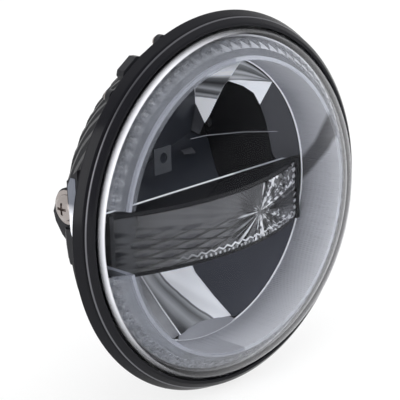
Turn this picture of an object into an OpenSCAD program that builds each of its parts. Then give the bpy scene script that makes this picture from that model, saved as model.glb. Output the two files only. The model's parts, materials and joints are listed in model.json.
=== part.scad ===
// Round LED motorcycle headlight with a halo ring and a fluted centre bar.
// The lamp's axis lies along Y, it shines towards -Y, and +Z is up.
// The origin is on the axis, in the plane of the bezel's bright front edge.
// Places along the axis are given as y, which grows towards the rear.

/* [Rim] */
// Outer radius of the bezel's front edge
edge_r = 89; // [80:0.5:100]
// Outer radius of the bezel's rear edge
rim_r = 91.7; // [84:0.5:104]
// Length of the bezel's conical side wall
rim_l = 5.6; // [4:0.2:9]
// Length of the chamfered skirt behind the side wall
skirt_l = 0.8; // [0.6:0.1:4]
// Wall of the bezel's skirt
skirt_wall = 5.4; // [5:0.1:7]
// Height of the bezel's front lip before its bright edge
lip_h = 3.1; // [2:0.1:5]
// Outer radius of the housing's flange
flange_r = 88; // [84:0.1:88.6]
// Thickness of the housing's flange
flange_t = 3; // [2:0.1:5]

/* [Lens] */
// Outer radius of the lens at its base
lens_r = 84.3; // [76:0.1:84.6]
// How far the dome stands in front of the bezel's edge plane
lens_h = 25.5; // [20:0.5:34]
// Place of the dome's foot, in front of the edge plane
lens_foot = 1.8; // [0.5:0.1:3]
// Thickness of the lens
lens_t = 2.5; // [2:0.1:3]
// Thickness of the lens's rim
lens_rim_t = 3; // [2:0.1:4]
// How far the lens's rim stands out of its wall
lens_rim_w = 1.8; // [1.2:0.1:2]
// Thickness of the rubber seal behind the lens's rim
seal_t = 1.5; // [1:0.1:3]

/* [Halo] */
// Inner radius of the halo ring's front edge
halo_r = 70; // [62:0.5:71]
// Outer radius of the halo ring
halo_out_r = 79.4; // [77:0.1:80]
// How far the ring's inner edge stands in front of the edge plane
halo_inner_h = 12; // [8:0.2:12.4]
// How far the ring's outer edge stands in front of the edge plane
halo_outer_h = 3.4; // [2:0.1:3.6]
// Thickness of the clear light guide
guide_t = 3; // [2:0.1:4]
// Number of prism teeth on the light guide's outer edge
teeth_n = 76; // [24:1:120]
// Place of the rear end of the deep inner wall
wall_end = 16; // [12:0.5:20]
// Thickness of the carrier's wall
wall_t = 1.8; // [1.2:0.1:3]
// Number of ribs round the inner wall
ribs_n = 120; // [40:4:180]
// Height of one rib
rib_h = 0.5; // [0.3:0.1:1]
// Number of light sources behind the ring
halo_leds_n = 24; // [12:1:36]

/* [Centre bar] */
// Half length of the bar
bar_half = 63; // [52:0.5:64]
// Height of the bar
bar_h = 31; // [24:0.5:36]
// Place of the bar's middle, up from the lamp's axis
bar_z = -8.8; // [-12:0.1:0]
// Place of the bar's ends along the axis
bar_end_y = 13.6; // [10:0.2:16]
// How far the bar's middle bulges in front of its ends
bar_bulge = 16; // [8:0.5:20]
// Thickness of the clear bar optic
optic_t = 3.2; // [2:0.1:5]
// Height of the flutes on the optic's face
flute_h = 1; // [0.4:0.1:1.6]
// Number of flutes round the sunburst
flutes_n = 44; // [20:2:60]
// Place of the sunburst's centre, to the right of the axis
burst_x = 23; // [0:0.5:40]
// Wall of the bar's tray
tray_wall = 1.8; // [1.2:0.1:3]

/* [Reflectors] */
// Wall of the chrome reflectors
refl_wall = 2; // [1.5:0.1:3]
// Place of the reflectors' deepest point
refl_depth = 41; // [34:0.5:43]
// Radius of the upper bowl at its mouth
low_r = 58; // [44:0.5:60]
// Radius of the lower bowl at its mouth
high_r = 42; // [30:0.5:43]
// Thickness of the blade that divides the upper bowl
blade_t = 2; // [1.5:0.1:3]
// Place of the blade, to the right of the axis
blade_x = -12; // [-20:0.5:20]

/* [Housing] */
// Wall of the cast housing
cast_wall = 3; // [2.4:0.1:4]
// Outer radius of the cup under the fins
cup_r = 79.5; // [76:0.5:82]
// Place where the cup starts to narrow
cup_y = 19; // [14:0.5:24]
// How far the fins stand out of the cup behind the flange
fin_h = 4; // [2:0.5:8]
// Place of the fins' rear ends
fin_end_y = 54; // [50:0.5:56]
// Radius of the envelope at the fins' rear ends
fin_end_r = 50; // [44:0.5:54]
// Thickness of a fin
fin_t = 1.8; // [1.4:0.1:2.6]
// Pitch of the fins
fin_pitch = 5.2; // [4.4:0.1:8]
// Place of the housing's floor, its inner face
floor_y = 44; // [42:0.5:48]
// Outer radius of the rear driver pocket
pocket_r = 34; // [30:0.5:38]
// Place of the rear driver pocket's end
pocket_end_y = 60; // [57:0.5:66]

/* [Side lugs] */
// Distance of a lug's face from the lamp's middle
lug_x = 76.5; // [74:0.5:80]
// Place of the lug screws' axis along the lamp's axis
lug_y = 24.6; // [22:0.2:30]
// Height of the lug screws above the lamp's axis
lug_z = 12.4; // [-10:0.2:20]
// Radius of a lug round its screw
lug_r = 9; // [7:0.1:10]
// Thickness of a lug
lug_t = 9; // [6:0.5:12]
// Radius of the lug screw's thread
lug_screw_r = 3; // [2.5:0.5:4]
// Length of the lug screw below its head
lug_screw_l = 7.5; // [6:0.5:9]

/* [Rear connector] */
// Width of the connector's shroud
plug_w = 32; // [26:0.5:38]
// Height of the connector's shroud
plug_h = 20; // [16:0.5:24]
// Length of the connector's shroud
plug_l = 19; // [14:0.5:26]
// Wall of the connector's shroud
plug_wall = 2; // [1.6:0.1:3]
// Width of a terminal blade
blade_w = 7.8; // [6:0.1:8]

/* [Hidden] */

$fn = 96;
slip = 0.3;                              // clearance between pieces that sit in each other
eps = 0.01;

lip_r = lens_r + slip;                   // inner radius of the bezel's lip
skirt_in_r = rim_r - skirt_wall;
lens_rim_r = lens_r + lens_rim_w;
seal_y = lens_rim_t;
seat_y = lens_rim_t + seal_t;            // front face of the housing's spigot
step_y = seat_y + 3;                     // step in the housing behind the halo's board
flange_y = rim_l + skirt_l;              // front face of the housing's flange
flange_end = flange_y + flange_t;
spigot_r = skirt_in_r - slip;
spigot_in_r = lens_r - 3.2;

lens_n = 4;                              // exponents of the dome's superellipse
lens_m = 1.2;
lens_steps = 22;

carrier_r = halo_r + wall_t;
guide_slope = (halo_inner_h - halo_outer_h) / (halo_out_r - halo_r);
carrier_gap = 0.3;                       // air between light guide and carrier
carrier_t = 1.6;
board_t = 1.6;
led_w = 3;
led_t = 0.8;
halo_led_r = (halo_r + halo_out_r) / 2 + 1;
halo_led_y = 5;

bar_r = (bar_half * bar_half + bar_bulge * bar_bulge) / (2 * bar_bulge);
bar_arc_y = bar_end_y - bar_bulge + bar_r;
bar_back_y = bar_end_y + 6.5;
optic_h = bar_h - 2 * (tray_wall + slip);
mask_t = 2;
mask_y = bar_back_y + 0.4;
mask_r = halo_r - 0.6;
mask_screw_angles = [12, 168, 215, 325];
mask_screw_pcd_r = mask_r - 5.5;
mask_screw_end = 31;                     // place of the mask screws' tips
mask_screws_n = len(mask_screw_angles);
low_z = bar_z + bar_h / 2 + 1;           // floor plane of the upper bowl
high_z = bar_z - bar_h / 2 - 1;          // roof plane of the lower bowl
sink_w = 52;
sink_y = mask_y + mask_t + 3;
low_sink_z = low_z - 1.8;
high_sink_z = high_z + 1.8;

cup_end_r = 52;

key_angle = 124;                         // where the key block sits on the flange
key_r = 92.5;
side_pad_x = 84;                         // flat pad at the left of the cup
side_pad_end = 16.3;
tall_fins_z = -14;                       // the fins are tall above this height
bezel_screw_angles = [15, 62, 110.5, 134.3, 245, 300];
bezel_screw_n = len(bezel_screw_angles);
bezel_screw_r = 1.5;
bezel_screw_pcd_r = spigot_r + 2.4;
tab_r = 3.4;                             // tabs of the flange round the bezel screws
cover_t = 3;
cover_screw_n = 4;
cover_screw_pcd_r = pocket_r - 3.6;
cover_screw_r = 1.5;
pocket_in_r = pocket_r - 7;
cover_y = pocket_end_y + 1;
plug_y = cover_y + cover_t;
plug_z = 0;
vent_x = 21;

// Turns a solid made along Z so that it lies along Y, towards the rear.
module rearward() { rotate([-90, 0, 0]) children(); }
// Solid of revolution about the lamp's axis, from points of radius and y.
module spun(points) { rearward() rotate_extrude() polygon(points); }
// Cylinder about an axis parallel to the lamp's, from y0 to y1.
module rod(x, z, r, y0, y1) { translate([x, y0, z]) rearward() cylinder(r = r, h = y1 - y0); }
// Block between two corners.
module block(a, b) { translate(a) cube(b - a); }

// Height of a dome in front of the edge plane at radius r.
function dome(r, foot_r, rise) =
    lens_foot + rise * pow(max(0, 1 - pow(r / foot_r, lens_n)), 1 / lens_m);
// Radii that crowd towards the dome's foot, where it is steep.
function dome_radii(foot_r) = [for (i = [0 : lens_steps]) foot_r * sin(90 * i / lens_steps)];

module front_bezel() {
    color("black") difference() {
        spun([
            [lip_r, -lip_h + 0.3], [lip_r + 0.6, -lip_h], [lip_r + 2, -lip_h + 0.3],
            [edge_r - 1, -1.2], [edge_r - 0.3, -0.5], [edge_r, 0], [edge_r - 0.1, 0.5],
            [edge_r - 0.9, 0.8], [edge_r - 0.9, 1.5], [edge_r + 0.2, 2],
            [rim_r - 0.2, rim_l - 0.5], [rim_r, rim_l], [rim_r - 0.8, flange_y],
            [skirt_in_r, flange_y], [skirt_in_r, -slip], [lip_r, -slip]
        ]);
        for (i = [0 : bezel_screw_n - 1]) screw_at(i) rod(0, 0, bezel_screw_r - 0.2, 2.6, flange_y + 1);
    }
}

// Places a bezel screw's axis on its circle.
module screw_at(i) {
    a = bezel_screw_angles[i];
    translate([bezel_screw_pcd_r * cos(a), 0, bezel_screw_pcd_r * sin(a)]) children();
}

module bezel_screws() {
    color("silver") for (i = [0 : bezel_screw_n - 1]) screw_at(i) {
        rod(0, 0, bezel_screw_r - 0.4, 3, flange_end);
        rod(0, 0, 2.3, flange_end, flange_end + 1.8);
    }
}

module outer_lens() {
    in_r = lens_r - lens_t;
    in_rise = lens_h - lens_foot - lens_t;
    outer = [for (r = dome_radii(lens_r)) [r, -dome(r, lens_r, lens_h - lens_foot)]];
    inner = [for (i = [lens_steps : -1 : 0])
        let (r = in_r * sin(90 * i / lens_steps)) [r, -dome(r, in_r, in_rise)]];
    color([0.92, 0.94, 0.97, 0.3]) spun(concat(
        outer,
        [[lens_r, 0], [lens_rim_r, 0], [lens_rim_r, lens_rim_t], [in_r, lens_rim_t]],
        inner));
}

module lens_seal() {
    color("dimgray") spun([
        [spigot_in_r + 0.4, seal_y], [lens_rim_r, seal_y],
        [lens_rim_r, seat_y], [spigot_in_r + 0.4, seat_y]
    ]);
}

// Front face of the halo ring: a cone that rises towards the axis.
function halo_y(r) = -(halo_inner_h - guide_slope * (r - halo_r));

module halo_light_guide() {
    tooth_a = 360 / teeth_n;
    root_r = halo_out_r - 1.1;
    color([0.9, 0.92, 0.95, 0.5]) intersection() {
        spun([
            [halo_r, halo_y(halo_r)], [halo_out_r, halo_y(halo_out_r)],
            [halo_out_r, halo_y(halo_out_r) + guide_t], [halo_r, halo_y(halo_r) + guide_t]
        ]);
        translate([0, -halo_inner_h - 1, 0]) rearward() linear_extrude(halo_inner_h + 10)
            polygon([for (i = [0 : 2 * teeth_n - 1])
                let (r = i % 2 == 0 ? halo_out_r / cos(tooth_a / 2) : root_r)
                [r * cos(i * tooth_a / 2), r * sin(i * tooth_a / 2)]]);
    }
}

module halo_carrier() {
    back = guide_t + carrier_gap;
    rib_a = 360 / ribs_n;
    cone_y = halo_y(halo_r) + back;
    color("lightgray") difference() {
        union() {
            spun([
                [halo_r, cone_y], [halo_out_r, halo_y(halo_out_r) + back],
                [spigot_in_r - 0.4, halo_y(halo_out_r) + back],
                [spigot_in_r - 0.4, seat_y + 2], [spigot_in_r - 2.2, seat_y + 2],
                [spigot_in_r - 2.2, halo_y(halo_out_r) + back + carrier_t],
                [halo_out_r - 0.5, halo_y(halo_out_r) + back + carrier_t],
                [carrier_r, cone_y + carrier_t + 1.4], [carrier_r, wall_end], [halo_r, wall_end]
            ]);
            intersection() {
                spun([[halo_r - 2, cone_y], [halo_r + 0.2, cone_y], [halo_r + 0.2, wall_end], [halo_r - 2, wall_end]]);
                translate([0, cone_y, 0]) rearward() linear_extrude(wall_end - cone_y) difference() {
                    circle(r = halo_r + 0.2);
                    polygon([for (i = [0 : 2 * ribs_n - 1])
                        let (r = i % 2 == 0 ? halo_r + 0.02 : halo_r - rib_h)
                        [r * cos(i * rib_a / 2), r * sin(i * rib_a / 2)]]);
                }
            }
        }
        carrier_window();
        bar_clearance();
    }
}

// Opening at the left, through which the end of the bar shows behind the clear ring.
module carrier_window() {
    top = bar_z + bar_h / 2 + 9;
    low = bar_z - bar_h / 2 + 6;
    rearward() linear_extrude(60, center = true)
        polygon([[-spigot_in_r + 3, -top], [-halo_r / 2, -top], [-halo_r / 2, -low], [-spigot_in_r + 3, -low]]);
}

// Space for the bar's two ends in the carrier's wall.
module bar_clearance() {
    block([-bar_half - 8, -2, bar_z - bar_h / 2 - slip], [bar_half + 8, wall_end + 9, bar_z + bar_h / 2 + slip]);
}

// Places a mask screw's axis.
module mask_screw_at(i) {
    a = mask_screw_angles[i];
    translate([mask_screw_pcd_r * cos(a), 0, mask_screw_pcd_r * sin(a)]) children();
}

module halo_led_board() {
    y0 = halo_led_y + led_t;
    color("darkgreen") difference() {
        spun([[carrier_r + 0.6, y0], [spigot_in_r - 2.6, y0], [spigot_in_r - 2.6, y0 + board_t], [carrier_r + 0.6, y0 + board_t]]);
        carrier_window();
    }
}

module halo_leds() {
    color("khaki") for (i = [0 : halo_leds_n - 1]) {
        a = 360 * (i + 0.5) / halo_leds_n;
        if (abs(a - 180) > 20)
            rotate([0, -a, 0]) block([halo_led_r - led_w / 2, halo_led_y, -led_w / 2],
                [halo_led_r + led_w / 2, halo_led_y + led_t, led_w / 2]);
    }
}

// Part of a slab that follows the bar's arc, from depth a to depth b behind its face.
module bar_slab(a, b, half, height) {
    intersection() {
        translate([0, bar_arc_y, bar_z - height / 2]) difference() {
            cylinder(r = bar_r - a, h = height, $fn = 256);
            translate([0, 0, -1]) cylinder(r = bar_r - b, h = height + 2, $fn = 256);
        }
        block([-half, -30, bar_z - height], [half, bar_back_y + 2, bar_z + height]);
    }
}

module bar_optic() {
    half = bar_half - tray_wall - slip;
    flute_a = 360 / flutes_n;
    reach = 2 * bar_half;
    color([0.9, 0.92, 0.95, 0.6]) union() {
        bar_slab(flute_h, flute_h + optic_t, half, optic_h);
        intersection() {
            bar_slab(0, flute_h + 0.2, half, optic_h);
            translate([burst_x, 40, bar_z]) rotate([90, 0, 0]) linear_extrude(80)
                for (i = [0 : flutes_n - 1]) {
                    a = i * flute_a;
                    polygon([
                        [3 * cos(a), 3 * sin(a)],
                        [reach * cos(a - flute_a / 4), reach * sin(a - flute_a / 4)],
                        [reach * cos(a + flute_a / 4), reach * sin(a + flute_a / 4)]
                    ]);
                }
        }
    }
}

module bar_tray() {
    color([0.1, 0.1, 0.11]) difference() {
        intersection() {
            translate([0, bar_arc_y, bar_z - bar_h / 2]) cylinder(r = bar_r - 1, h = bar_h, $fn = 256);
            block([-bar_half, -30, bar_z - bar_h / 2], [bar_half, bar_back_y, bar_z + bar_h / 2]);
        }
        block([-bar_half + tray_wall, -40, bar_z - bar_h / 2 + tray_wall],
            [bar_half - tray_wall, bar_back_y - tray_wall, bar_z + bar_h / 2 - tray_wall]);
    }
}

module bar_led_board() {
    y1 = bar_back_y - tray_wall;
    color("darkgreen") block([-bar_half + 6, y1 - board_t, bar_z - 8], [bar_half - 6, y1, bar_z + 8]);
}

module bar_leds() {
    y1 = bar_back_y - tray_wall - board_t;
    color("khaki") for (i = [-4 : 4])
        block([i * 12 - led_w / 2, y1 - led_t, bar_z - led_w / 2], [i * 12 + led_w / 2, y1, bar_z + led_w / 2]);
}

// Half bowl of an upper or lower reflector: y0 is its mouth, r its radius there.
function bowl_r(r, y) = r * sqrt(max(0, (refl_depth - y) / (refl_depth - mask_y - mask_t)));

module half_bowl(r, z0, up) {
    y0 = mask_y + mask_t;
    steps = 10;
    outer = [for (i = [0 : steps])
        let (y = y0 + (refl_depth - y0) * i / steps) [bowl_r(r, y) + refl_wall, y]];
    inner = [for (i = [steps : -1 : 0])
        let (y = y0 + (refl_depth - y0) * i / steps) [bowl_r(r, y), y]];
    intersection() {
        translate([0, 0, z0]) spun(concat(outer, [[0, refl_depth + refl_wall]], [[0, refl_depth]], inner));
        block([-80, y0, up ? z0 : z0 - 90], [80, 60, up ? z0 + 90 : z0]);
        rod(0, 0, mask_r, y0, 60);
    }
}

module low_beam_reflector() {
    y0 = mask_y + mask_t;
    color("silver") difference() {
        union() {
            half_bowl(low_r, low_z, true);
            intersection() {
                translate([blade_x - blade_t / 2, y0, low_z]) cube([blade_t, 60, 90]);
                translate([0, 0, low_z]) spun([for (i = [0 : 8])
                    let (y = y0 + (refl_depth - y0) * i / 8) [bowl_r(low_r, y) + 0.5, y]]);
                rod(0, 0, mask_r, y0, 60);
            }
        }
        block([-sink_w / 2 - 1, sink_y - 1, low_z - 5], [sink_w / 2 + 1, floor_y + 5, low_z + 4]);
    }
}

module high_beam_reflector() {
    color("silver") difference() {
        half_bowl(high_r, high_z, false);
        block([-sink_w / 2 - 1, sink_y - 1, high_z - 4], [sink_w / 2 + 1, floor_y + 5, high_z + 5]);
    }
}

module inner_mask() {
    y1 = mask_y + mask_t;
    color([0.2, 0.21, 0.25]) difference() {
        union() {
            spun([[0, mask_y], [mask_r - 2, mask_y], [mask_r - 2, wall_end + slip],
                [mask_r, wall_end + slip], [mask_r, y1], [0, y1]]);
            for (i = [0 : mask_screws_n - 1]) mask_screw_at(i) rod(0, 0, 4, mask_y - 3, mask_y + 0.5);
        }
        intersection() {
            rod(0, low_z, low_r, mask_y - 5, y1 + 5);
            block([-80, mask_y - 5, low_z], [80, y1 + 5, low_z + 90]);
            rod(0, 0, mask_r - 3, mask_y - 5, y1 + 5);
        }
        intersection() {
            rod(0, high_z, high_r, mask_y - 5, y1 + 5);
            block([-80, mask_y - 5, high_z - 90], [80, y1 + 5, high_z]);
            rod(0, 0, mask_r - 3, mask_y - 5, y1 + 5);
        }
        block([-bar_half - 8, -2, bar_z - bar_h / 2 - slip], [bar_half + 8, mask_y + 0.2, bar_z + bar_h / 2 + slip]);
        for (i = [0 : mask_screws_n - 1]) mask_screw_at(i) rod(0, 0, 1.7, mask_y - 5, y1 + 1);
    }
}

module mask_screws() {
    color("silver") for (i = [0 : mask_screws_n - 1]) mask_screw_at(i) {
        rod(0, 0, 1.4, mask_y - 3, mask_screw_end);
        rod(0, 0, 3, mask_y - 5, mask_y - 3);
    }
}

module led_heat_sink() {
    color("gainsboro") difference() {
        block([-sink_w / 2, sink_y, high_sink_z], [sink_w / 2, floor_y, low_sink_z]);
        for (i = [-2 : 2])
            block([i * 10 - 3, sink_y - 1, high_sink_z + 5], [i * 10 + 3, floor_y - 6, low_sink_z - 5]);
    }
}

module low_beam_board() {
    color("white") block([-sink_w / 2 + 2, sink_y + 1, low_sink_z], [sink_w / 2 - 2, floor_y - 2, low_sink_z + board_t]);
}

module high_beam_board() {
    color("white") block([-sink_w / 2 + 2, sink_y + 1, high_sink_z - board_t], [sink_w / 2 - 2, floor_y - 2, high_sink_z]);
}

module led_row(z0, z1) {
    for (i = [-2 : 2]) block([i * 8 - 2, sink_y + 6, z0], [i * 8 + 2, sink_y + 10, z1]);
}

module low_beam_leds() {
    color("khaki") led_row(low_sink_z + board_t, low_sink_z + board_t + led_t);
}

module high_beam_leds() {
    color("khaki") led_row(high_sink_z - board_t - led_t, high_sink_z - board_t);
}

// The envelope that the fins are cut to: they stand taller above the lamp's axis.
module fin_envelope() {
    slope = cup_r + fin_h;
    spun([
        [0, flange_y], [slope, flange_y], [slope - 1, cup_y], [slope - 11, cup_y + 12],
        [fin_end_r + 3, fin_end_y - 4], [fin_end_r - 1, fin_end_y], [0, fin_end_y]
    ]);
    intersection() {
        spun([
            [0, flange_y], [flange_r, flange_y], [flange_r, flange_end], [slope, cup_y - 1], [slope - 8, cup_y + 11],
            [fin_end_r + 12, fin_end_y - 12], [fin_end_r - 1, fin_end_y], [0, fin_end_y]
        ]);
        block([-100, 0, tall_fins_z], [100, 90, 100]);
    }
}

// The cup under the fins, with the flange, the spigot and the rear pocket's tube.
module cup() {
    spun([
        [0, floor_y + 3], [cup_end_r, floor_y + 3], [cup_r, cup_y], [cup_r, flange_end],
        [flange_r, flange_end], [flange_r, flange_y], [spigot_r, flange_y],
        [spigot_r, seat_y], [spigot_in_r, seat_y], [spigot_in_r, step_y],
        [cup_r - cast_wall, step_y], [cup_r - cast_wall, cup_y - 1],
        [cup_end_r - cast_wall + 1, floor_y], [0, floor_y]
    ]);
}

// Lug at one side of the cup, which a bracket's arm is screwed to.
module side_lug(side) {
    rear = lug_y + lug_r + 2.2;
    mirror([side < 0 ? 1 : 0, 0, 0]) translate([lug_x - lug_t, 0, 0]) rotate([90, 0, 90]) linear_extrude(lug_t) {
        translate([lug_y, lug_z]) circle(r = lug_r);
        polygon([
            [lug_y - 8, lug_z + 3], [lug_y + lug_r - 0.6, lug_z + 3], [rear, lug_z - 4], [rear - 1.3, lug_z - 8.5],
            [lug_y + 6, lug_z - 14], [lug_y + 0.7, lug_z - 18.5], [lug_y - 4, lug_z - 25.4], [flange_end - 1, lug_z - 38],
            [flange_end - 1, lug_z]
        ]);
    }
}

// Room that a lug's screw and washer, and the bracket's arm, need in the fins.
module lug_room(side) {
    mirror([side < 0 ? 1 : 0, 0, 0]) translate([lug_x, lug_y, lug_z]) rotate([0, 90, 0]) cylinder(r = lug_r + 1, h = 30);
}

// Hole for a lug's screw, open into the cup.
module lug_hole(side) {
    mirror([side < 0 ? 1 : 0, 0, 0]) translate([lug_x - lug_screw_l, lug_y, lug_z]) rotate([0, 90, 0])
        cylinder(r = lug_screw_r + 0.1, h = lug_screw_l + 1);
}

module housing() {
    fins = floor((cup_r + fin_h - 1) / fin_pitch);
    color([0.09, 0.09, 0.1]) difference() {
        union() {
            cup();
            intersection() {
                fin_envelope();
                for (i = [-fins : fins])
                    translate([i * fin_pitch - fin_t / 2, flange_y + 1, -100]) cube([fin_t, 80, 200]);
            }
            rod(0, 0, pocket_r, floor_y + 1, pocket_end_y);
            rod(0, 0, pocket_r + 0.8, floor_y + 1, fin_end_y + 0.6);
            for (s = [-1, 1]) side_lug(s);
            for (i = [0 : bezel_screw_n - 1]) screw_at(i) rod(0, 0, tab_r, flange_y, flange_end);
            key_block();
            side_pad();
            mask_posts();
        }
        inner_space();
        rod(0, 0, pocket_in_r, floor_y + 3, pocket_end_y + 1);
        for (s = [-1, 1]) {
            lug_room(s);
            lug_hole(s);
        }
        for (i = [0 : bezel_screw_n - 1]) {
            screw_at(i) rod(0, 0, bezel_screw_r, flange_y - 1, flange_end + 1);
            screw_at(i) rod(0, 0, 3, flange_end, flange_end + 30);
        }
        for (i = [0 : cover_screw_n - 1]) cover_screw_at(i) rod(0, 0, cover_screw_r - 0.2, pocket_end_y - 9, pocket_end_y + 1);
        for (i = [0 : mask_screws_n - 1]) mask_screw_at(i) rod(0, 0, 1.5, mask_y, mask_screw_end + 0.8);
        rod(0, 0, 6, floor_y - 1, floor_y + 5);
    }
}

// The hollow of the cup, kept clear of the fins.
module inner_space() {
    difference() {
        spun([
            [0, seat_y - 1], [spigot_in_r, seat_y - 1], [spigot_in_r, step_y],
            [cup_r - cast_wall, step_y], [cup_r - cast_wall, cup_y - 1],
            [cup_end_r - cast_wall + 1, floor_y], [0, floor_y]
        ]);
        mask_posts();
    }
}

// Posts inside the cup that the mask's screws go into.
module mask_posts() {
    intersection() {
        spun([[0, 0], [cup_r - 1, 0], [cup_r - 1, cup_y], [cup_end_r - 1, floor_y + 3], [0, floor_y + 3]]);
        for (i = [0 : mask_screws_n - 1]) mask_screw_at(i) rod(0, 0, 4, mask_y + mask_t + 4, floor_y - 4);
    }
}

// Flat pad on the left side of the cup, for a plate.
module side_pad() {
    y0 = flange_end - 0.5;
    translate([-side_pad_x, 0, 0]) rotate([90, 0, 90]) linear_extrude(side_pad_x - cup_r + 9)
        polygon([[y0, 34], [side_pad_end, 28], [side_pad_end, 8], [y0, -13]]);
}

// Block that stands out of the flange at the upper left, with chamfered corners.
module key_block() {
    translate([0, flange_y, 0]) rotate([0, -key_angle, 0]) rearward() linear_extrude(flange_t + 1.5)
        polygon([[cup_r - 1, -6.5], [key_r - 1.6, -6.5], [key_r, -4.6], [key_r, 4.6], [key_r - 1.6, 6.5], [cup_r - 1, 6.5]]);
}

module cover_screw_at(i) {
    a = 45 + 360 * i / cover_screw_n;
    translate([cover_screw_pcd_r * cos(a), 0, cover_screw_pcd_r * sin(a)]) children();
}

module driver_board() {
    color("darkgreen") difference() {
        rod(0, 0, pocket_in_r - 0.6, floor_y + 6, floor_y + 6 + board_t);
        for (a = [0 : 120 : 359]) rod((pocket_in_r - 4) * cos(a), (pocket_in_r - 4) * sin(a), 1.6, floor_y, floor_y + 12);
    }
}

module driver_parts() {
    y0 = floor_y + 6 + board_t;
    color("dimgray") {
        rod(-9, 6, 5, y0, y0 + 7);
        rod(9, 8, 3.5, y0, y0 + 6.5);
        block([-4, y0, -16], [6, y0 + 2, -6]);
        block([10, y0, -10], [17, y0 + 3, -4]);
        block([-18, y0, -9], [-11, y0 + 2.4, -3]);
    }
}

module rear_cover_seal() {
    color("dimgray") difference() {
        rod(0, 0, pocket_in_r + 2, pocket_end_y, cover_y);
        rod(0, 0, pocket_in_r + 0.4, pocket_end_y - 1, cover_y + 1);
    }
}

module rear_cover() {
    color([0.1, 0.1, 0.11]) difference() {
        union() {
            rod(0, 0, pocket_r - 0.6, cover_y, plug_y);
            rod(0, 0, pocket_in_r - 0.5, cover_y - 1.2, cover_y + 1);
        }
        for (i = [0 : cover_screw_n - 1]) cover_screw_at(i) rod(0, 0, cover_screw_r + 0.2, cover_y - 5, plug_y + 1);
        block([-plug_w / 2 + plug_wall + 1, cover_y - 5, -plug_h / 2 + plug_wall + 1],
            [plug_w / 2 - plug_wall - 1, plug_y + 1, plug_h / 2 - plug_wall - 1]);
        rod(0, -vent_x, 3.2, cover_y - 5, plug_y + 1);
    }
}

module rear_cover_screws() {
    color("silver") for (i = [0 : cover_screw_n - 1]) cover_screw_at(i) {
        rod(0, 0, cover_screw_r - 0.4, pocket_end_y - 7, plug_y);
        rod(0, 0, 2.8, plug_y, plug_y + 2);
    }
}

module connector_shroud() {
    color([0.12, 0.12, 0.13]) difference() {
        union() {
            block([-plug_w / 2, plug_y, plug_z - plug_h / 2], [plug_w / 2, plug_y + plug_l, plug_z + plug_h / 2]);
            block([-4, plug_y + 5, plug_z + plug_h / 2 - 1], [4, plug_y + 9, plug_z + plug_h / 2 + 2]);
        }
        block([-plug_w / 2 + plug_wall, plug_y + 3, plug_z - plug_h / 2 + plug_wall],
            [plug_w / 2 - plug_wall, plug_y + plug_l + 1, plug_z + plug_h / 2 - plug_wall]);
        for (x = [-9, 9]) block([x - 0.6, plug_y - 1, -blade_w / 2 - 0.2], [x + 0.6, plug_y + 4, blade_w / 2 + 0.2]);
        block([-blade_w / 2 - 0.2, plug_y - 1, 5.1 - 0.6], [blade_w / 2 + 0.2, plug_y + 4, 5.1 + 0.6]);
    }
}

module connector_blades() {
    color("gold") {
        for (x = [-9, 9]) block([x - 0.4, cover_y + 0.5, -blade_w / 2], [x + 0.4, plug_y + 12, blade_w / 2]);
        block([-blade_w / 2, cover_y + 0.5, 5.1 - 0.4], [blade_w / 2, plug_y + 12, 5.1 + 0.4]);
    }
}

module breather_vent() {
    color("gray") {
        rod(0, -vent_x, 3, cover_y, plug_y);
        rod(0, -vent_x, 4.6, plug_y, plug_y + 2.5);
    }
}

// Places a lug's face at the origin of a part turned about Z, which grows outwards.
module on_lug(side) {
    mirror([side < 0 ? 1 : 0, 0, 0]) translate([lug_x, lug_y, lug_z]) rotate([0, 90, 0]) children();
}

module lug_screws() {
    color("silver") for (s = [-1, 1]) on_lug(s) difference() {
        union() {
            translate([0, 0, 1.4 - lug_screw_l]) cylinder(r = lug_screw_r, h = lug_screw_l + 1);
            rotate_extrude() polygon([[0, 1.4], [6.2, 1.4], [6.2, 1.9], [5.6, 3.2], [4.2, 4.2], [2.2, 4.6], [0, 4.7]]);
        }
        for (r = [0, 90]) rotate([0, 0, r]) translate([-2.9, -0.65, 2.6]) cube([5.8, 1.3, 4]);
    }
}

module lug_washers() {
    color("silver") for (s = [-1, 1]) on_lug(s) rotate_extrude()
        polygon([[lug_screw_r + 0.25, 0], [8.2, 0], [8.2, 1.1], [7.9, 1.4], [lug_screw_r + 0.25, 1.4]]);
}

front_bezel();
outer_lens();
lens_seal();
halo_light_guide();
halo_carrier();
halo_led_board();
halo_leds();
bar_optic();
bar_tray();
bar_led_board();
bar_leds();
inner_mask();
low_beam_reflector();
high_beam_reflector();
led_heat_sink();
low_beam_board();
low_beam_leds();
high_beam_board();
high_beam_leds();
mask_screws();
housing();
bezel_screws();
driver_board();
driver_parts();
rear_cover();
rear_cover_seal();
rear_cover_screws();
connector_shroud();
connector_blades();
breather_vent();
lug_screws();
lug_washers();
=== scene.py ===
"""Round motorcycle headlight, seen from the left of its front.

The lamp's axis lies along Y and it shines towards -Y. Shapes and places are
in millimetres, and the meshes are in metres. The frame gives the CAD solids.
"""

import json
import math

import bmesh
import bpy
import numpy as np
from bpy.props import FloatProperty, FloatVectorProperty, IntProperty, PointerProperty
from mathutils import Matrix, Vector


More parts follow.
